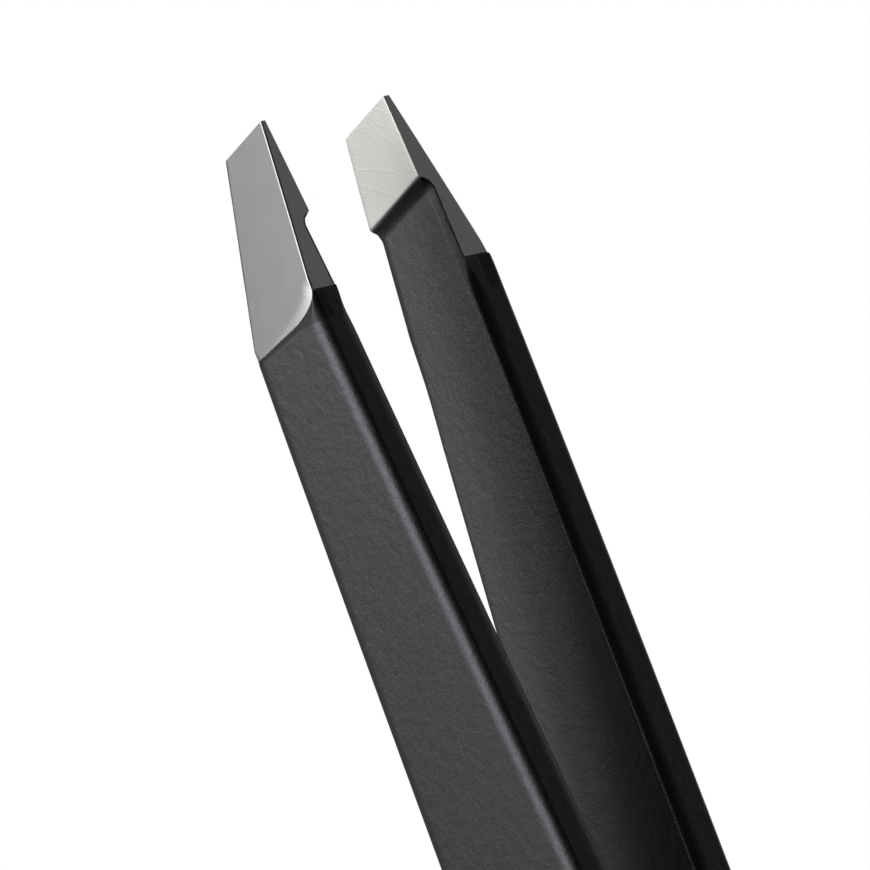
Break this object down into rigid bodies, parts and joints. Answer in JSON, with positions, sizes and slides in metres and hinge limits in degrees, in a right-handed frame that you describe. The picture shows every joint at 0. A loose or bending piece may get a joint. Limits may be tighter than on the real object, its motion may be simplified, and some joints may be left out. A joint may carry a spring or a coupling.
{
  "type": "slant tweezers",
  "caption": "Slant-tip tweezers: sprung powder-coated steel blades welded at the heel, with bare ground tips that close on slanted gripping pads.",
  "frame": {"origin": "middle of the bottom of the bounding box, on the plane between the two blades", "axes": "+X across the opening towards the right blade, +Y along the tool from heel to tips, +Z across the width of the blades, towards the side on which the slanted tips reach furthest"},
  "size_m": [0.012, 0.095, 0.0092],
  "materials": {
    "ground_steel": "finely ground satin stainless steel, buffed on the outer facets",
    "powder_coat": "matte black powder coat with a fine leathery texture",
    "weld_steel": "resistance weld, hidden between the blades"
  },
  "bodies": {
    "heel": {"left_blade_heel": "ground_steel", "right_blade_heel": "ground_steel", "left_coating_heel": "powder_coat", "right_coating_heel": "powder_coat", "weld_nugget_rear": "weld_steel", "weld_nugget_front": "weld_steel"},
    "left_arm": {"left_blade": "ground_steel", "left_coating": "powder_coat"},
    "right_arm": {"right_blade": "ground_steel", "right_coating": "powder_coat"}
  },
  "joints": [
    {"name": "left_arm_flex", "type": "hinge", "parent": "heel", "child": "left_arm", "pos_m": [-0.00138, -0.0238, 0.0046], "axis": [0, 0, -1], "range_deg": [0, 3.07], "stiffness_Nm_per_rad": 0.28},
    {"name": "right_arm_flex", "type": "hinge", "parent": "heel", "child": "right_arm", "pos_m": [0.00138, -0.0238, 0.0046], "axis": [0, 0, 1], "range_deg": [0, 3.07], "stiffness_Nm_per_rad": 0.28}
  ]
}
